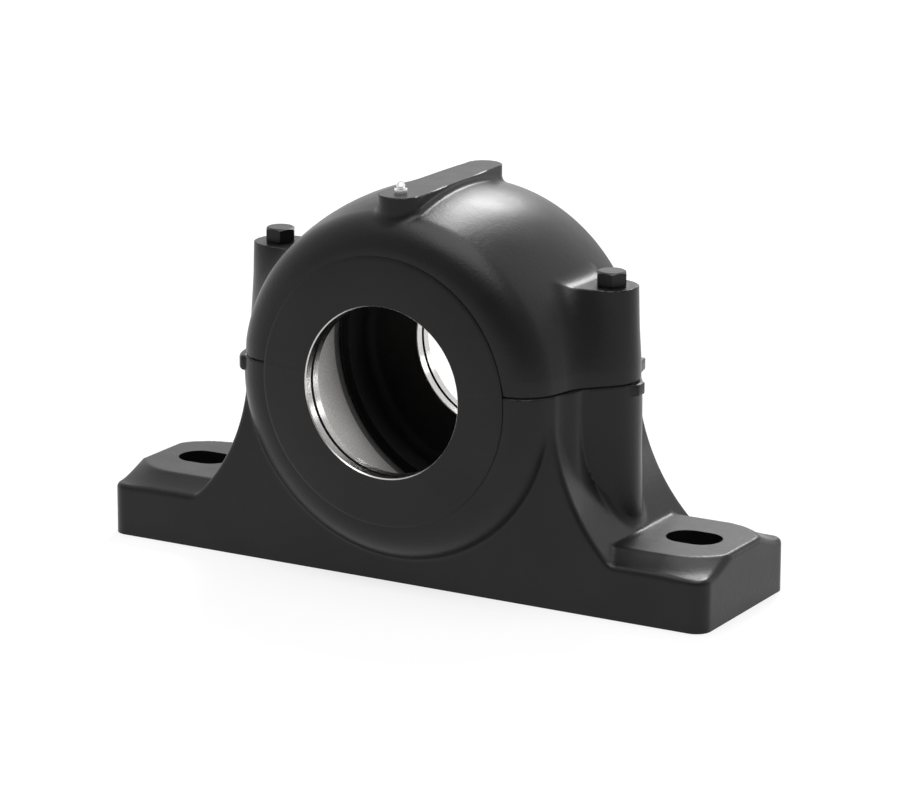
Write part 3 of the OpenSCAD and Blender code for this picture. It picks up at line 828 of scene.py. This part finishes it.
class Nodes:
    """A material's node tree with short calls for adding and linking nodes."""

    def __init__(self, name):
        self.material = bpy.data.materials.new(name)
        self.material.use_nodes = True
        self.tree = self.material.node_tree
        self.shader = self.tree.nodes["Principled BSDF"]
        self.place = self.add("ShaderNodeTexCoord").outputs["Object"]

    def add(self, kind, **values):
        node = self.tree.nodes.new(kind)
        for name, value in values.items():
            if name in node.inputs:
                node.inputs[name].default_value = value
            else:
                setattr(node, name, value)
        return node

    def link(self, source, target):
        self.tree.links.new(source, target)

    def noise(self, scale, detail=4.0, roughness=0.5):
        node = self.add("ShaderNodeTexNoise")
        node.inputs["Scale"].default_value = scale
        node.inputs["Detail"].default_value = detail
        node.inputs["Roughness"].default_value = roughness
        self.link(self.place, node.inputs["Vector"])
        return node.outputs["Fac"]

    def spread(self, source, low, high):
        """Maps a noise, which stays near 0.3 to 0.7, onto low to high."""
        node = self.add("ShaderNodeMapRange")
        node.inputs["To Min"].default_value = low
        node.inputs["To Max"].default_value = high
        node.inputs["From Min"].default_value = 0.3
        node.inputs["From Max"].default_value = 0.7
        self.link(source, node.inputs["Value"])
        return node.outputs["Result"]

    def bump(self, height, distance, strength, normal=None):
        node = self.add("ShaderNodeBump")
        node.inputs["Distance"].default_value = distance
        node.inputs["Strength"].default_value = strength
        self.link(height, node.inputs["Height"])
        if normal is not None:
            self.link(normal, node.inputs["Normal"])
        return node.outputs["Normal"]

    def colour(self, source, dark, light):
        node = self.add("ShaderNodeMix", data_type="RGBA")
        node.inputs["A"].default_value = (*dark, 1)
        node.inputs["B"].default_value = (*light, 1)
        self.link(source, node.inputs["Factor"])
        return node.outputs["Result"]

    def set(self, **values):
        for name, value in values.items():
            self.shader.inputs[name.replace("_", " ")].default_value = value


def cast_paint(name, dark, light, rough_low, rough_high):
    """Black paint over sand-cast iron: fine grain, shallow dimples and slow changes of gloss."""
    m = Nodes(name)
    m.shader.inputs["Specular IOR Level"].default_value = 0.26
    tint = m.colour(m.spread(m.noise(24.0), 0, 1), dark, light)
    gloss = m.spread(m.noise(60.0, 6.0), rough_low, rough_high)
    grain = m.bump(m.noise(600.0, 2.0), 0.00016, 0.5)
    dimples = m.bump(m.noise(260.0, 2.0), 0.0004, 0.1, grain)
    m.link(tint, m.shader.inputs["Base Color"])
    m.link(gloss, m.shader.inputs["Roughness"])
    m.link(dimples, m.shader.inputs["Normal"])
    return m.material


def machined_iron(name, dark, light, rough_low, rough_high):
    """Turned iron: bright, with a fine grain and faint rings round the shaft's axis."""
    m = Nodes(name)
    m.set(Metallic=1.0)
    tint = m.colour(m.spread(m.noise(1100.0, 2.0), 0, 1), dark, light)
    gloss = m.spread(m.noise(700.0, 2.0), rough_low, rough_high)
    place = m.add("ShaderNodeMapping")
    place.inputs["Scale"].default_value = (30.0, 900.0, 30.0)
    m.link(m.place, place.inputs["Vector"])
    lines = m.add("ShaderNodeTexNoise")
    lines.inputs["Scale"].default_value = 1.0
    m.link(place.outputs["Vector"], lines.inputs["Vector"])
    rings = m.bump(lines.outputs["Fac"], 0.00005, 0.2)
    m.link(tint, m.shader.inputs["Base Color"])
    m.link(gloss, m.shader.inputs["Roughness"])
    m.link(rings, m.shader.inputs["Normal"])
    return m.material


def metal(name, dark, light, rough_low, rough_high, scale=300.0):
    """Bare or plated steel, with a grain of the given scale in its colour, gloss and surface."""
    m = Nodes(name)
    m.set(Metallic=1.0)
    tint = m.colour(m.spread(m.noise(scale), 0, 1), dark, light)
    gloss = m.spread(m.noise(scale * 3, 5.0), rough_low, rough_high)
    grain = m.bump(m.noise(scale * 8, 3.0), 0.00005, 0.2)
    m.link(tint, m.shader.inputs["Base Color"])
    m.link(gloss, m.shader.inputs["Roughness"])
    m.link(grain, m.shader.inputs["Normal"])
    return m.material


def dress(nodes, material):
    """Gives a material to CAD nodes that are shown as they are."""
    for name in nodes:
        mesh = frame["nodes"][name].data
        mesh.materials.clear()
        mesh.materials.append(material)


def soft_lamp(name, azimuth, elevation, width, height, power):
    """An area lamp LAMP_OUT away that faces the object, with its width level."""
    lamp = bpy.data.lights.new(name, "AREA")
    lamp.shape = "RECTANGLE"
    lamp.size = width
    lamp.size_y = height
    lamp.energy = power
    holder = bpy.data.objects.new(name, lamp)
    turn = math.radians(azimuth)
    tilt = math.radians(elevation)
    away = Vector((math.cos(turn) * math.cos(tilt), math.sin(turn) * math.cos(tilt), math.sin(tilt)))
    holder.location = Vector((0, 0, AXIS_H * MM)) + away * LAMP_OUT * MM
    holder.rotation_euler = (-away).to_track_quat("-Z", "Y").to_euler()
    bpy.context.scene.collection.objects.link(holder)


def pale_floor():
    """A wide floor that shines a little, so that it comes out white."""
    plan = [(-FLOOR_HALF, -FLOOR_HALF), (FLOOR_HALF, -FLOOR_HALF)]
    plan += [(FLOOR_HALF, FLOOR_HALF), (-FLOOR_HALF, FLOOR_HALF)]
    floor = make_mesh("floor", [(x, y, FLOOR_Z) for x, y in plan], [(0, 1, 2, 3)])
    m = Nodes("floor_white")
    m.set(Base_Color=(0.3, 0.3, 0.3, 1), Roughness=0.8, Emission_Color=(1, 1, 1, 1), Emission_Strength=0.78)
    m.set(Specular_IOR_Level=0.0)
    floor.data.materials.append(m.material)


def surround():
    """A world that the camera, reflections and glass see white, and that is dim as a light."""
    world = bpy.data.worlds.new("studio")
    bpy.context.scene.world = world
    world.use_nodes = True
    nodes = world.node_tree.nodes
    links = world.node_tree.links
    back = nodes["Background"]
    back.inputs["Color"].default_value = (1, 1, 1, 1)
    path = nodes.new("ShaderNodeLightPath")
    seen = path.outputs["Is Camera Ray"]
    for ray in ("Is Glossy Ray", "Is Transmission Ray"):
        either = nodes.new("ShaderNodeMath")
        either.operation = "MAXIMUM"
        links.new(seen, either.inputs[0])
        links.new(path.outputs[ray], either.inputs[1])
        seen = either.outputs[0]
    level = nodes.new("ShaderNodeMapRange")
    level.inputs["To Min"].default_value = WORLD_LEVEL
    level.inputs["To Max"].default_value = 1.0
    links.new(seen, level.inputs["Value"])
    links.new(level.outputs["Result"], back.inputs["Strength"])


def studio():
    """A pale floor, a white surround, and soft lamps."""
    pale_floor()
    surround()
    for name, azimuth, elevation, width, height, power in LAMPS:
        soft_lamp(name, azimuth, elevation, width, height, power)


def dim_wall():
    """The dim side of the studio, in front and to the right, which shows only in reflections."""
    rim = arc((0, 0), WALL_OUT, WALL_START, WALL_END, WALL_STEPS)
    points = [(x, y, WALL_LOW) for x, y in rim] + [(x, y, WALL_HIGH) for x, y in rim]
    n = len(rim)
    faces = [(i, i + 1, n + i + 1, n + i) for i in range(n - 1)]
    wall = make_mesh("dim_wall", points, faces)
    m = Nodes("wall_grey")
    m.set(Base_Color=(0, 0, 0, 1), Emission_Color=(1, 1, 1, 1))
    side = m.add("ShaderNodeVectorMath", operation="DOT_PRODUCT")
    m.link(m.place, side.inputs[0])
    side.inputs[1].default_value = [v / (WALL_OUT * MM) for v in WALL_DARK_SIDE]
    level = m.add("ShaderNodeMapRange")
    level.inputs["To Min"].default_value = WALL_LIGHTEST
    level.inputs["To Max"].default_value = WALL_DARKEST
    m.link(side.outputs["Value"], level.inputs["Value"])
    m.link(level.outputs["Result"], m.shader.inputs["Emission Strength"])
    wall.data.materials.append(m.material)
    for kind in ("camera", "diffuse", "shadow", "transmission", "volume_scatter"):
        setattr(wall, "visible_" + kind, False)


def photo_camera():
    """The camera of the photograph, found by fitting the object's edges."""
    place = Vector(CAMERA_PLACE) * MM
    forward = Vector(CAMERA_FORWARD)
    up = Vector(CAMERA_UP)
    right = forward.cross(up).normalized()
    up = right.cross(forward).normalized()
    data = bpy.data.cameras.new("camera")
    data.sensor_width = SENSOR_WIDTH
    data.lens = LENS
    camera = bpy.data.objects.new("camera", data)
    turn = Matrix((right, up, -forward.normalized())).transposed()
    camera.matrix_world = Matrix.Translation(place) @ turn.to_4x4()
    bpy.context.scene.collection.objects.link(camera)
    bpy.context.scene.camera = camera


def casting_finishes():
    """The castings' materials, in the order of the kinds of face."""
    paint = cast_paint("cast_paint", (0.004, 0.004, 0.0045), (0.008, 0.008, 0.009), 0.3, 0.36)
    # The dark cast inside, also put in the bottom of the turned groove as painted shade
    dark_cast_and_groove_shade = cast_paint("inner_cast_and_groove_shade", (0.014, 0.014, 0.014), (0.022, 0.022, 0.022), 0.5, 0.65)
    bright_iron = machined_iron("machined_iron", (0.5, 0.49, 0.48), (0.66, 0.65, 0.64), 0.2, 0.26)
    # A darker copy of the turned iron for the seat's ends: painted shade
    seat_end_shade_iron = machined_iron("seat_end_shade_iron", (0.2, 0.2, 0.2), (0.27, 0.27, 0.27), 0.35, 0.45)
    seat_iron = machined_iron("seat_iron", (0.64, 0.62, 0.6), (0.84, 0.81, 0.79), 0.42, 0.5)
    return [paint, bright_iron, dark_cast_and_groove_shade, seat_end_shade_iron, seat_iron]


def bolt_finish():
    """The black oxide of the cap bolts."""
    return cast_paint("black_oxide", (0.006, 0.006, 0.006), (0.014, 0.014, 0.014), 0.3, 0.4)


def nipple_finish():
    """The nipple's zinc plating."""
    return metal("zinc", (0.6, 0.61, 0.63), (0.8, 0.81, 0.83), 0.15, 0.3)


def pin_finish():
    """The bright steel of dowels, ball and spring."""
    return metal("bright_steel", (0.5, 0.5, 0.52), (0.65, 0.65, 0.67), 0.2, 0.3)


photo_camera()
studio()
dim_wall()
finishes = casting_finishes()
cast_base(finishes)
cast_cap(finishes)
bolt_black = bolt_finish()
for side in (-1, 1):
    cap_bolt(side, bolt_black)
dress(["nipple_body"], nipple_finish())
dress(["dowel_pin_left", "dowel_pin_right", "nipple_ball", "nipple_spring"], pin_finish())

bpy.context.scene.view_settings.view_transform = "Standard"
